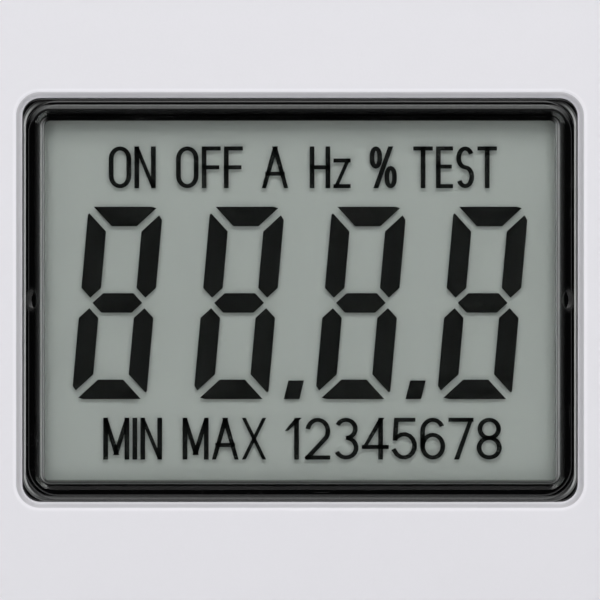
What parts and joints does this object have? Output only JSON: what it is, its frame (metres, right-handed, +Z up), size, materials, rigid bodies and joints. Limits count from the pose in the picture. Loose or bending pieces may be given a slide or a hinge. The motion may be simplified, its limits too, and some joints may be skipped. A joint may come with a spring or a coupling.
{
  "type": "plug-in energy monitor",
  "caption": "Plug-in energy monitor: pale housing with a black-framed digit display, push buttons, an earthed socket in front and a two-pin plug behind.",
  "frame": {"origin": "the middle of the plug's face, between the two pins", "axes": "+Z up, +Y into the wall along the pins, -Y towards the room, +X to the right seen from the room"},
  "size_m": [0.064, 0.0753, 0.123],
  "materials": {
    "housing": "fine-textured pale grey ABS",
    "cover": "fine-textured pale grey ABS",
    "button": "satin dark grey",
    "bezel": "polished black",
    "lens": "clear polished acrylic",
    "polariser": "clear grey-green film",
    "display_glass": "thin clear glass",
    "seal": "cured epoxy",
    "segments": "switched liquid crystal",
    "reflector": "matt grey-green film",
    "holder": "moulded black",
    "strip": "silicone with conducting layers",
    "board": "solder resist",
    "screw": "zinc-plated",
    "switch": "moulded black",
    "plunger": "moulded black",
    "socket": "pale grey thermoset",
    "shutter": "moulded grey",
    "spring": "drawn wire",
    "carrier": "glass-filled nylon",
    "contact": "phosphor bronze",
    "busbar": "sheet brass",
    "plug": "pale grey thermoset",
    "pin": "nickel-plated brass",
    "earth": "nickel-plated brass",
    "cell": "nickel-plated steel",
    "cell_plate": "nickel-plated steel",
    "film_capacitor": "filled epoxy box",
    "can_capacitor": "sleeved aluminium can",
    "varistor": "dipped coating",
    "fuse": "glass tube with plated caps",
    "chip": "moulded epoxy",
    "resin": "black resin",
    "crystal": "plated can",
    "shunt": "resistance wire"
  },
  "bodies": {
    "housing": {"front_shell": "housing", "rear_shell": "housing", "housing_screws": "screw", "window_bezel": "bezel", "window_lens": "lens", "lcd_polariser": "polariser", "lcd_front_glass": "display_glass", "lcd_seal": "seal", "lcd_segments": "segments", "lcd_rear_glass": "display_glass", "lcd_reflector": "reflector", "lcd_holder": "holder", "connector_strips": "strip", "circuit_board": "board", "board_screws": "screw", "tact_switches": "switch", "socket_cup": "socket", "shutter_spring": "spring", "contact_carrier": "carrier", "live_contact": "contact", "neutral_contact": "contact", "live_busbar": "busbar", "neutral_busbar": "busbar", "plug_base": "plug", "live_pin": "pin", "neutral_pin": "pin", "earth_strip_top": "earth", "earth_strip_bottom": "earth", "earth_bridge": "earth", "battery_cells": "cell", "battery_contacts": "cell_plate", "mains_capacitor": "film_capacitor", "smoothing_capacitor": "can_capacitor", "varistor": "varistor", "fuse": "fuse", "metering_chip": "chip", "controller_blob": "resin", "crystal": "crystal", "shunt": "shunt"},
    "left_button": {"button_left": "button", "plunger_left": "plunger"},
    "middle_button": {"button_middle": "button", "plunger_middle": "plunger"},
    "right_button": {"button_right": "button", "plunger_right": "plunger"},
    "shutter_plate": {"shutter": "shutter"},
    "rear_cover": {"battery_cover": "cover", "battery_cover_screw": "screw", "battery_link": "cell_plate"}
  },
  "joints": [
    {"name": "left_button_press", "type": "slide", "parent": "housing", "child": "left_button", "axis": [0, 1, 0], "range_m": [0, 0.0006], "stiffness_N_per_m": 600, "springref_m": -0.0003},
    {"name": "middle_button_press", "type": "slide", "parent": "housing", "child": "middle_button", "axis": [0, 1, 0], "range_m": [0, 0.0006], "stiffness_N_per_m": 600, "springref_m": -0.0003},
    {"name": "right_button_press", "type": "slide", "parent": "housing", "child": "right_button", "axis": [0, 1, 0], "range_m": [0, 0.0006], "stiffness_N_per_m": 600, "springref_m": -0.0003},
    {"name": "shutter_turn", "type": "hinge", "parent": "housing", "child": "shutter_plate", "pos_m": [0, -0.0339, 0], "axis": [0, 1, 0], "range_deg": [0, 40], "stiffness_Nm_per_rad": 0.002, "springref_deg": -11.46},
    {"name": "battery_cover_off", "type": "slide", "parent": "housing", "child": "rear_cover", "axis": [0, 1, 0], "range_m": [0, 0.012]}
  ]
}
